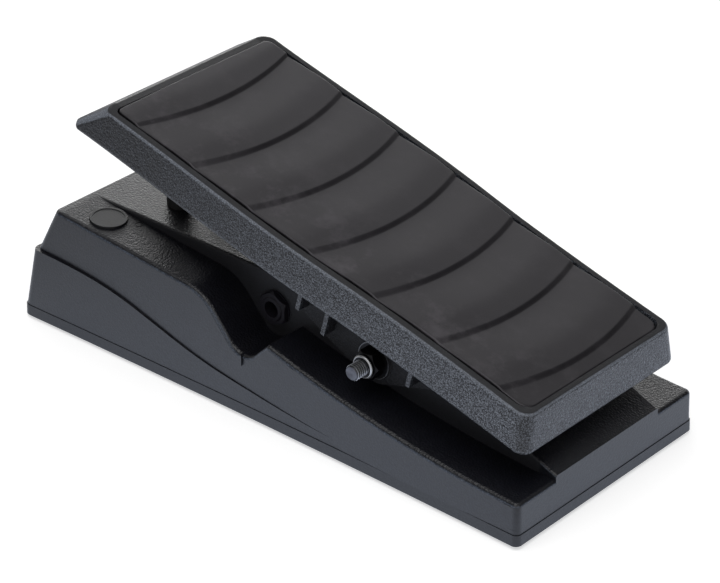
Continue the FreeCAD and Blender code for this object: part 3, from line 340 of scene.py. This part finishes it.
def rubber(name, colour, bloom, gloss, depth=0.012):
    """Dull rubber: colour greyed towards bloom in patches, its tooth depth millimetres deep."""
    finish = Finish(name)
    patch, tooth, greyed = bloomed(finish, colour, bloom)
    return finish.shade(
        Base_Color=greyed,
        Roughness=gloss + patch * PATCH_DULL,
        Normal=finish.relief(tooth, depth),
        IOR=1.5)


def scuffed_rubber(name, colour, bloom, scuff_colour, gloss, depth):
    """The mat's rubber, with pale scuffs that gather towards the near side."""
    finish = Finish(name)
    patch, tooth, greyed = bloomed(finish, colour, bloom)
    near = finish.step(finish.part("Y") * -MM_IN_M, 0.0, SCUFF_REACH)
    scuff = finish.patches(**SMEAR) * (SCUFF_LEAST + near * SCUFF_NEAR)
    return finish.shade(
        Base_Color=finish.blend(scuff, greyed, srgb(*scuff_colour)),
        Roughness=gloss + patch * MAT_PATCH_DULL + scuff * SCUFF_DULL,
        Normal=finish.relief(tooth, depth),
        IOR=1.54,
        Specular_Tint=(0.97, 0.94, 1.0, 1.0))


mat_rubber = scuffed_rubber("black_mat_rubber", (22, 20, 23), (27, 25, 29), (72, 69, 73),
                            gloss=0.40, depth=0.010)
bumper_rubber = rubber("black_bumper_rubber", (20, 20, 21), (29, 29, 31), gloss=0.62)
foot_rubber = rubber("grey_foot_rubber", (40, 40, 41), (58, 58, 60), gloss=0.75)
pad_rubber = rubber("charcoal_pad", (34, 35, 38), (44, 45, 48), gloss=0.38, depth=0.03)
dress(bumper_rubber, "toe_bumpers", "heel_bumpers")
dress(foot_rubber, "rubber_feet")
dress(pad_rubber, "deck_pads")
dress(mat_rubber, "tread_mat")

# %% [markdown]
# ## Metal
# The cross bolt is dark steel, and its lock nut and washers are blackened. Bright colour is painted
# as a highlight on the bolt's thread crests, on the nut's collar and on the washers' rims. Plating
# is never even: its roughness wanders, and turned faces keep fine rings around the axis, which here
# is the Y axis of every bolt, nut and bush.


# %% Plated, blackened and brushed metal
TARNISH = dict(size=3.0, detail=4.0, roughness=0.6)
TARNISH_RANGE = (0.35, 0.75)
TARNISH_DULL = 0.16
SPECK_SIZE = 0.4
SPECK_DULL = 0.08
RING_PITCH = 0.22
RING_SHARE = 0.5

# Painted highlights on rims: how far their edges blur in millimetres, and how bright they are at least
# and in specks
RIM_BLUR = 0.1
HIGHLIGHT_LEAST = 0.7
HIGHLIGHT_SPECKS = 0.4


def plating(name, colour, tarnish, gloss, metal=1.0, turned=0.0, axis=None, bright=None, rim=(0, 0),
            front=None):
    """Metal whose colour wanders to tarnish, with rings around Y turned millimetres deep. Where an
    axis is given, what lies between the two distances of rim from it is painted bright as a highlight,
    and where front is given, only what stands out past front millimetres from the middle line."""
    finish = Finish(name)
    cloud = finish.mottle(**TARNISH)
    speck = finish.mottle(SPECK_SIZE)
    across = finish.part("Y")
    turns = across * (2 * math.pi / (RING_PITCH * MM))
    rings = finish.node("ShaderNodeMath", {"operation": "SINE"}, {0: turns})
    coat = finish.blend(finish.step(cloud, *TARNISH_RANGE), srgb(*colour), srgb(*tarnish))
    if axis is not None:
        away = finish.off_axis(axis)
        # painted highlight: a bright band between the two distances of rim from the axis, in specks
        painted_highlight = finish.past(away, rim[0], RIM_BLUR) * (1 - finish.past(away, rim[1], RIM_BLUR))
        if front is not None:
            painted_highlight = painted_highlight * finish.past(finish.size_of(across) * MM_IN_M, front, RIM_BLUR)
        coat = finish.blend(painted_highlight * (HIGHLIGHT_LEAST + speck * HIGHLIGHT_SPECKS), coat, srgb(*bright))
    return finish.shade(
        Base_Color=coat,
        Roughness=gloss + (cloud - 0.5) * TARNISH_DULL + (speck - 0.5) * SPECK_DULL,
        Metallic=metal,
        Normal=finish.relief(rings * RING_SHARE + speck * (1 - RING_SHARE), turned))


pivot_low, pivot_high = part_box("lock_nut")
pivot_line = [(low + high) / 2 for low, high in zip(pivot_low, pivot_high)]
collar_face = -pivot_low[1] * MM_IN_M
COLLAR_DEPTH = 0.7
zinc = plating("zinc_plate", (150, 152, 156), (118, 119, 123), 0.34, turned=0.004)
# the bolt's thread crests, the nut's collar and the washers' rims are painted bright as highlights
bolt_steel = plating("painted_highlight_bolt_steel", (94, 95, 100), (64, 64, 68), 0.36, turned=0.002,
                     axis=pivot_line, bright=(224, 226, 230), rim=(2.90, 3.1))
nut_steel = plating("black_nut_steel", (20, 20, 22), (32, 31, 32), 0.36, metal=0.8, turned=0.002,
                    axis=pivot_line, bright=(205, 206, 208), rim=(3.9, 4.7),
                    front=collar_face - COLLAR_DEPTH)
washer_steel = plating("black_washer_steel", (22, 22, 24), (34, 33, 33), 0.38, metal=0.8, turned=0.002,
                       axis=pivot_line, bright=(120, 121, 124), rim=(6.85, 7.4))
black_oxide = plating("black_oxide_steel", (40, 39, 40), (60, 58, 56), 0.38, metal=0.85, turned=0.003)
nickel = plating("nickel_plate", (188, 184, 176), (150, 146, 138), 0.24, turned=0.003)
screw_steel = plating("dark_screw_steel", (86, 86, 88), (60, 59, 59), 0.38, turned=0.002)
pot_can = plating("potentiometer_can", (158, 160, 160), (120, 121, 120), 0.34, turned=0.003)
dress(zinc, "pot_bracket", "pot_shaft")
dress(bolt_steel, "pivot_bolt")
dress(nut_steel, "lock_nut")
dress(washer_steel, "bolt_washers")
dress(black_oxide, "sector_screw", "cover_screws")
dress(nickel, "pot_nut")
dress(screw_steel, "inner_screws")
dress(pot_can, "potentiometer")


# %% [markdown]
# ## Inside parts
# They show only from below or with a part taken off, yet a library part should look right there
# too: black nylon sockets and bushes, milky acetal gears, and a green board with pale tracks.


# %% Nylon, acetal and the circuit board
FLOW = dict(size=7.0, detail=3.0, roughness=0.55)
FLOW_RANGE = (0.3, 0.7)
FLOW_DULL = 0.08
SKIN_SIZE = 0.6
SKIN_DEPTH = 0.006
GLOW_DEPTH = 1.5

# The board: cells LAND_SIZE across, and tracks where the distance from a cell's point is between
# the two ranges
LAND_SIZE = 5.0
LAND_SCATTER = 0.55
TRACK_FROM = (0.34, 0.38)
TRACK_TO = (0.46, 0.50)
TRACK_TINT = 0.8
TRACK_SHARE = 0.7
WEAVE_SIZE = 0.8
WEAVE_DULL = 0.1
BOARD_DEPTH = 0.03


def engineering_plastic(name, colour, shade_colour, gloss, glow=0.0, index=1.5):
    """Smooth engineering plastic: colour with soft flow marks towards shade_colour. Where glow is
    over 0, light goes a little way into it and makes it milky."""
    finish = Finish(name)
    flow = finish.mottle(**FLOW)
    skin = finish.mottle(SKIN_SIZE)
    return finish.shade(
        Base_Color=finish.blend(finish.step(flow, *FLOW_RANGE), srgb(*colour), srgb(*shade_colour)),
        Roughness=gloss + (flow - 0.5) * FLOW_DULL,
        Normal=finish.relief(skin, SKIN_DEPTH),
        Subsurface_Weight=glow,
        Subsurface_Scale=GLOW_DEPTH * MM,
        IOR=index)


def board_finish(name, resist, copper, gloss):
    """Solder resist over copper tracks, which are the edges of large square cells."""
    finish = Finish(name)
    lands = finish.node("ShaderNodeTexVoronoi", {"feature": "F1", "distance": "CHEBYCHEV"}, {
        "Vector": finish.place, "Scale": MM_IN_M / LAND_SIZE, "Randomness": LAND_SCATTER})
    track = finish.step(lands, *TRACK_FROM) * (1 - finish.step(lands, *TRACK_TO))
    weave = finish.mottle(WEAVE_SIZE)
    return finish.shade(
        Base_Color=finish.blend(track * TRACK_TINT, srgb(*resist), srgb(*copper)),
        Roughness=gloss + weave * WEAVE_DULL,
        Normal=finish.relief(track * TRACK_SHARE + weave * (1 - TRACK_SHARE), BOARD_DEPTH))


black_nylon = engineering_plastic("black_nylon", (26, 26, 28), (36, 36, 39), 0.38)
socket_nylon = engineering_plastic("black_socket_nylon", (25, 23, 30), (33, 31, 39), 0.55, index=1.33)
acetal = engineering_plastic("white_acetal", (222, 220, 210), (206, 203, 192), 0.36, glow=0.2)
part_epoxy = engineering_plastic("board_part_epoxy", (34, 34, 37), (52, 50, 48), 0.42)
green_board = board_finish("green_board", resist=(24, 74, 44), copper=(58, 116, 66), gloss=0.34)
dress(socket_nylon, "output_jack", "input_jack", "jack_washers", "jack_nuts")
dress(black_nylon, "pivot_bushes")
dress(acetal, "gear_sector", "pinion")
dress(part_epoxy, "board_parts")
dress(green_board, "circuit_board")

# %% [markdown]
# ## The ribbed mat
# The mat is one rubber moulding: shingles that lie like roof tiles along the treadle. Each one
# starts low behind the last, rises to a soft brow, falls a little, and ends in a rounded step
# along an arc. A sculpted mesh could give that, but the rule is simple enough to write down: a
# height that depends on how far along its row a point lies, on rows that bend from a straight
# line at each end to the full arc between.

# %% Where the treadle's frame lies, and the mat's sizes in it
PLACE_X = -120.1
PLACE_Z = 1.0
PIVOT_X = 163.3
PIVOT_Z = 36.2
PIVOT_U = 133.7
PIVOT_W = -28.7
TILT = math.radians(15.13)

MAT_TOE = 3.4
MAT_HEEL = 199.8
MAT_MIDDLE = 100.0
MAT_LOW = -2.4
TOE_ROUND = 2.7
HEEL_ROUND = 4.7
EDGE_ROUND = 0.6
SIDE_ALONG = [0, 90, 108, 125, 142, 160, 203]
SIDE_HALF = [39.9, 39.8, 39.1, 38.1, 37.5, 37.2, 37.2]

ARC_RADIUS = 123.6
ARC_PITCH = 28.85
ARC_COUNT = 7
FIRST_CROWN = 21.5
LAST_CROWN = FIRST_CROWN + ARC_PITCH * (ARC_COUNT - 1)
SHINGLE_LOW = -0.25
RISE_SLOPE = 0.075
BROW_SHARE = 0.60
BROW_SOFTNESS = 0.10
FALL_SLOPE = 0.035
STEP_WIDTH = 2.2
LAST_FALL = 0.06

# Towards the near side the steps are wider and lower
NEAR_FROM = 8.0
NEAR_TO = 38.0
NEAR_STEP_WIDTH = 3.4
NEAR_SHARE = 0.55


# %% Rows that bend into the arcs
def ramp(value, low, high):
    """0 below low, 1 above high, and an S-shaped rise 3t^2 - 2t^3 between."""
    t = np.clip((value - low) / (high - low), 0, 1)
    return t * t * (3 - 2 * t)


def arc_shift(row, across):
    """How far a point of a row is drawn back to the toe: an arc's drop R - sqrt(R^2 - y^2), times a
    share that rises from 0 at the mat's toe edge to 1 at the first arc, and falls to 0 at the heel."""
    share = np.clip((row - MAT_TOE) / (FIRST_CROWN - MAT_TOE), 0, 1)
    share = share * np.clip((MAT_HEEL - row) / (MAT_HEEL - LAST_CROWN), 0, 1)
    return -(ARC_RADIUS - np.sqrt(ARC_RADIUS ** 2 - across ** 2)) * share


def brow(t):
    """A rise of RISE_SLOPE that turns into a fall of FALL_SLOPE at BROW_SHARE. The turn is the soft
    corner of a hyperbola: half the sum of the slopes times t - b - sqrt((t - b)^2 + s^2)."""
    bend = t - BROW_SHARE
    corner = (np.sqrt(bend ** 2 + BROW_SOFTNESS ** 2) - math.hypot(BROW_SHARE, BROW_SOFTNESS)) / 2
    mean = (RISE_SLOPE - FALL_SLOPE) / 2
    return ARC_PITCH * (mean * t - (RISE_SLOPE + FALL_SLOPE) * corner)


def shingle_height(row, across):
    """Height along the rows: low behind an arc, up to the brow, and down from the crest by a step
    that is an S-curve and ends on the next arc. The step is STEP_WIDTH wide, but towards the near
    side it widens and the whole shingle sinks to NEAR_SHARE. The last strip falls by LAST_FALL."""
    t = np.mod(row - FIRST_CROWN, ARC_PITCH) / ARC_PITCH
    near = ramp(-across, NEAR_FROM, NEAR_TO)
    width = STEP_WIDTH + (NEAR_STEP_WIDTH - STEP_WIDTH) * near
    fall_from = 1 - width / ARC_PITCH
    sunk = 1 - (1 - NEAR_SHARE) * near
    shingle = brow(np.minimum(t, fall_from)) * (1 - ramp(t, fall_from, 1.0)) * sunk
    return SHINGLE_LOW + np.where(row < LAST_CROWN, shingle, (LAST_CROWN - row) * LAST_FALL)


step_height = shingle_height(FIRST_CROWN - STEP_WIDTH, 0.0) - shingle_height(FIRST_CROWN, 0.0)
print("step of", round(float(step_height), 2), "mm at each arc")

# %% [markdown]
# The mat's edge is rounded over, and its corners follow the recess in the treadle. Both come
# from one number, the distance in from the rounded outline: where it is less than the
# round-over's radius, the height falls along a quarter circle.


# %% The grid of the mat's top
# How many rows and columns, and the margins between groups of rows in millimetres
END_ROWS = 8
SHINGLE_ROWS = 14
STEP_ROWS = 22
PAST_STEP = 0.6
PAST_ROUND = 1.2
BEFORE_STEP = 0.5
STEP_MARGIN = 0.3
COLUMNS = 72
EDGE_COLUMNS = 8


def side_half(along):
    return np.interp(along, SIDE_ALONG, SIDE_HALF)


def corner_cut(along):
    """What a rounded corner takes off the half width: r - sqrt(r^2 - (r - d)^2) at d from the end."""
    toe_in = np.clip(TOE_ROUND - (along - MAT_TOE), 0, TOE_ROUND)
    heel_in = np.clip(HEEL_ROUND - (MAT_HEEL - along), 0, HEEL_ROUND)
    return (TOE_ROUND - np.sqrt(TOE_ROUND ** 2 - toe_in ** 2)
            + HEEL_ROUND - np.sqrt(HEEL_ROUND ** 2 - heel_in ** 2))


def inset(along, across):
    """Distance in from the outline: the nearer of side and end, or r minus the distance to the
    corner's centre where both are less than r away."""
    from_side = side_half(along) - np.abs(across)
    from_toe = along - MAT_TOE
    from_heel = MAT_HEEL - along
    best = np.minimum(from_side, np.minimum(from_toe, from_heel))
    for from_end, radius in ((from_toe, TOE_ROUND), (from_heel, HEEL_ROUND)):
        corner = (from_side < radius) & (from_end < radius)
        rounded = radius - np.hypot(radius - from_side, radius - from_end)
        best = np.where(corner, rounded, best)
    return np.clip(best, 0, None)


def row_positions():
    """Rows close together at the two ends and at each step, wider apart on the shingles."""
    ease = 1 - np.cos(np.linspace(0, math.pi / 2, END_ROWS))
    rows = [MAT_TOE + EDGE_ROUND * ease, MAT_HEEL - EDGE_ROUND * ease]
    edges = [MAT_TOE] + [FIRST_CROWN + ARC_PITCH * k for k in range(ARC_COUNT)]
    for start, crown in zip(edges, edges[1:]):
        shingle_from = max(start + PAST_STEP, MAT_TOE + PAST_ROUND)
        step_from = crown - NEAR_STEP_WIDTH
        rows.append(np.linspace(shingle_from, step_from - BEFORE_STEP, SHINGLE_ROWS))
        rows.append(np.linspace(step_from - STEP_MARGIN, crown + STEP_MARGIN, STEP_ROWS))
    rows.append(np.linspace(edges[-1] + PAST_STEP, MAT_HEEL - PAST_ROUND, END_ROWS))
    return np.unique(np.round(np.concatenate(rows), 4))


def mat_grid():
    """Arrays u, y, w of the top: y runs across each row, evenly but for the round-over's columns,
    and w is the shingle's height less the fall r - sqrt(r^2 - (r - inset)^2) of the edge."""
    rows = row_positions()[:, None]
    middle = np.linspace(-1, 1, COLUMNS)[None, :]
    angle = np.linspace(0, math.pi / 2, EDGE_COLUMNS + 1)[1:]
    half = side_half(rows + arc_shift(rows, side_half(rows)))
    half = half - corner_cut(np.clip(rows + arc_shift(rows, half), MAT_TOE, MAT_HEEL))
    inner = middle * (half - EDGE_ROUND)
    outer = (half - EDGE_ROUND) + EDGE_ROUND * np.sin(angle)[None, :]
    across = np.concatenate([-outer[:, ::-1], inner, outer], axis=1)
    along = rows + arc_shift(rows, across)
    depth = np.clip(inset(along, across), 0, EDGE_ROUND)
    fall = EDGE_ROUND - np.sqrt(EDGE_ROUND ** 2 - (EDGE_ROUND - depth) ** 2)
    height = shingle_height(rows, across) - fall
    return along, across, height


mat_u, mat_y, mat_w = mat_grid()
print("mat rows and columns:", mat_u.shape, "crest", round(float(mat_w.max()), 2), "mm over the rim")


# %% From the treadle's frame to the pedal's
def to_pedal(along, across, height):
    """Turn a point of the level treadle about the pivot by TILT, toe end up, and put it in place."""
    du = along - PIVOT_U
    dw = height - PIVOT_W
    x = PLACE_X + PIVOT_X + du * math.cos(TILT) + dw * math.sin(TILT)
    z = PLACE_Z + PIVOT_Z - du * math.sin(TILT) + dw * math.cos(TILT)
    return np.stack([x, across, z], axis=-1) * MM


def grid_numbers(row_count, column_count):
    """The numbers of a grid's points, row by row."""
    return np.arange(row_count * column_count).reshape(row_count, column_count)


def grid_faces(index):
    """Quads between neighbours in a grid of point numbers."""
    quads = np.stack([index[:-1, :-1], index[1:, :-1], index[1:, 1:], index[:-1, 1:]], axis=-1)
    return quads.reshape(-1, 4)


def rim_of(index):
    """The grid's outer point numbers, once around."""
    return np.concatenate([index[0, :-1], index[:-1, -1], index[-1, :0:-1], index[:0:-1, 0]])


def make_piece(name, points, faces, material):
    mesh = bpy.data.meshes.new(name)
    mesh.from_pydata(points.tolist(), [], faces)
    mesh.polygons.foreach_set("use_smooth", [True] * len(mesh.polygons))
    mesh.materials.append(material)
    mesh.update()
    made = bpy.data.objects.new(name, mesh)
    bpy.context.scene.collection.objects.link(made)
    return made


# %% The mat as a closed piece
def make_mat():
    """The top grid, a wall straight down to the recess floor, and a floor of triangles about a point."""
    index = grid_numbers(*mat_u.shape)
    top = to_pedal(mat_u, mat_y, mat_w).reshape(-1, 3)
    around = rim_of(index)
    foot_u = mat_u.reshape(-1)[around]
    foot_y = mat_y.reshape(-1)[around]
    foot = to_pedal(foot_u, foot_y, np.full(len(around), MAT_LOW))
    hub = to_pedal(np.array([MAT_MIDDLE]), np.array([0.0]), np.array([MAT_LOW]))
    points = np.concatenate([top, foot, hub])
    count = len(around)
    low = len(top) + np.arange(count)
    wall = np.stack([around, np.roll(around, -1), np.roll(low, -1), low], axis=-1)
    under = np.stack([low, np.roll(low, -1), np.full(count, len(top) + count)], axis=-1)
    faces = grid_faces(index).tolist() + wall.tolist() + under.tolist()
    piece = make_piece("ribbed_mat", points, faces, mat_rubber)
    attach(piece, "treadle")
    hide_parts("tread_mat")
    return piece


ribbed_mat = make_mat()
print("mat faces:", len(ribbed_mat.data.polygons))

# %% [markdown]
# ## Studio
# The photograph is taken in a white studio, lit from above and from behind the toe. Dark plastic
# shows mostly what it mirrors, so the world is white to the camera, gives a modest even light, and
# is graded for reflections: bright towards the toe's far side, softer towards the opposite one,
# and dim across. A large lamp overhead does the rest, and a low one behind the toe makes the
# decks' grain glint.


# %% World and lamps
LIGHT_WAY = (-0.76, 0.65, 0.0)
BRIGHT_LEAN = (0.26, 0.86)
BACK_LEAN = (0.30, 0.70)


def set_world(ambient, toe_side, dark_side, back_side):
    """White to the camera, ambient to diffuse light. Reflections see toe_side where they lean
    towards LIGHT_WAY, dark_side across it, and back_side more than that away from it."""
    world = bpy.data.worlds.new("white_studio")
    world.use_nodes = True
    bpy.context.scene.world = world
    tree = Tree(world.node_tree)
    background = world.node_tree.nodes["Background"]
    seen = tree.ray("Camera")
    mirrored = tree.ray("Glossy")
    through = tree.ray("Transmission")
    way = tree.node("ShaderNodeTexCoord", {}, {}, "Generated")
    lean = tree.vector("DOT_PRODUCT", way, LIGHT_WAY)
    side = tree.step(lean, *BRIGHT_LEAN, dark_side, toe_side)
    behind = tree.step(lean * -1, *BACK_LEAN, 0.0, back_side)
    plain = 1 - seen - mirrored - through
    strength = seen + (mirrored + through) * (side + behind) + plain * ambient
    tree.feed(background.inputs["Color"], (1.0, 1.0, 1.0, 1.0))
    tree.feed(background.inputs["Strength"], strength)


def softbox(name, spot, aim, size, power):
    lamp = bpy.data.lights.new(name, "AREA")
    lamp.shape = "RECTANGLE"
    lamp.size, lamp.size_y = size
    lamp.energy = power
    made = bpy.data.objects.new(name, lamp)
    bpy.context.scene.collection.objects.link(made)
    made.location = spot
    made.rotation_euler = (Vector(aim) - Vector(spot)).to_track_quat("-Z", "Y").to_euler()


set_world(ambient=0.26, toe_side=1.0, dark_side=0.06, back_side=0.6)
softbox("toe_softbox", spot=(-0.98, 1.08, 0.34), aim=(0, 0, 0.05), size=(1.0, 0.26), power=3)
softbox("top_softbox", spot=(0.1, -0.35, 1.5), aim=(0, 0, 0.04), size=(1.4, 1.4), power=12)


# %% Floor
FLOOR_HALF = 3.0
PAPER = (226, 226, 226)
PAPER_FIBRE = (230, 230, 230)
FIBRE_SIZE = 30.0

# Light that the paper gives off to the camera and to diffuse rays
CAMERA_GLOW = (200, 200, 200)
DIFFUSE_GLOW = (40, 40, 40)

# What reflections see of it, in metres: a bright pool, dim past POOL_EDGE and past FRONT_TO
POOL_CENTRE = (0.10, 0.0, 0.0)
POOL_CLEAR = 0.12
POOL_EDGE = 0.42
POOL_BRIGHT = (208, 220, 243)
POOL_DIM = (10, 20, 40)
FRONT_WAY = (0.665, -0.747, 0.0)
FRONT_FROM = 0.125
FRONT_TO = 0.165
FRONT_SHADE = 0.9


def make_floor():
    """A square of white paper: diffuse, so that it takes the pedal's shadow, with enough of its own
    light for camera rays that it reads as white. Reflections see a cool bright pool around the
    pedal, dim beyond it and in front, where the camera stands."""
    half = FLOOR_HALF
    corners = np.array([[-half, -half, 0], [half, -half, 0], [half, half, 0], [-half, half, 0]])
    paper = Finish("white_paper")
    seen = paper.ray("Camera")
    mirrored = paper.ray("Glossy")
    through = paper.ray("Transmission")
    away = paper.vector("DISTANCE", paper.place, POOL_CENTRE)
    front = paper.vector("DOT_PRODUCT", paper.place, FRONT_WAY)
    shaded = paper.step(front, FRONT_FROM, FRONT_TO) * FRONT_SHADE
    pool = (1 - paper.step(away, POOL_CLEAR, POOL_EDGE)) * (1 - shaded)
    lit = paper.blend(pool, srgb(*POOL_DIM), srgb(*POOL_BRIGHT))
    unseen = paper.blend(mirrored + through, srgb(*DIFFUSE_GLOW), lit)
    material = paper.shade(
        Base_Color=paper.blend(paper.mottle(FIBRE_SIZE), srgb(*PAPER), srgb(*PAPER_FIBRE)),
        Roughness=0.9,
        Emission_Color=paper.blend(seen, unseen, srgb(*CAMERA_GLOW)),
        Emission_Strength=1.0)
    floor = make_piece("paper_floor", corners, [[0, 1, 2, 3]], material)


make_floor()

# %% [markdown]
# ## Camera
# The camera stands a little over a metre away, in front of the near heel corner and half as high
# as it is far. Its place, aim, lens and slight roll were worked out from the pedal's own corners.

# %% The photograph's view
CAMERA_SPOT = Vector((623.26, -695.03, 565.00)) * MM
CAMERA_AIM = Vector((6.90, -0.03, 36.91)) * MM
CAMERA_ROLL = math.radians(-0.284)
FOCAL_PIXELS = 2929.17
FRAME_PIXELS = 720
SENSOR = 36.0

camera_data = bpy.data.cameras.new("photo_camera")
camera_data.sensor_width = SENSOR
camera_data.sensor_fit = "HORIZONTAL"
camera_data.lens = FOCAL_PIXELS / FRAME_PIXELS * SENSOR
camera_data.clip_start = 0.01
camera = bpy.data.objects.new("photo_camera", camera_data)
bpy.context.scene.collection.objects.link(camera)
aimed = (CAMERA_AIM - CAMERA_SPOT).to_track_quat("-Z", "Y").to_matrix().to_4x4()
camera.matrix_world = Matrix.Translation(CAMERA_SPOT) @ aimed @ Matrix.Rotation(CAMERA_ROLL, 4, "Z")
bpy.context.scene.camera = camera
bpy.context.scene.view_settings.view_transform = "Standard"
print("lens", round(camera_data.lens, 2), "mm")
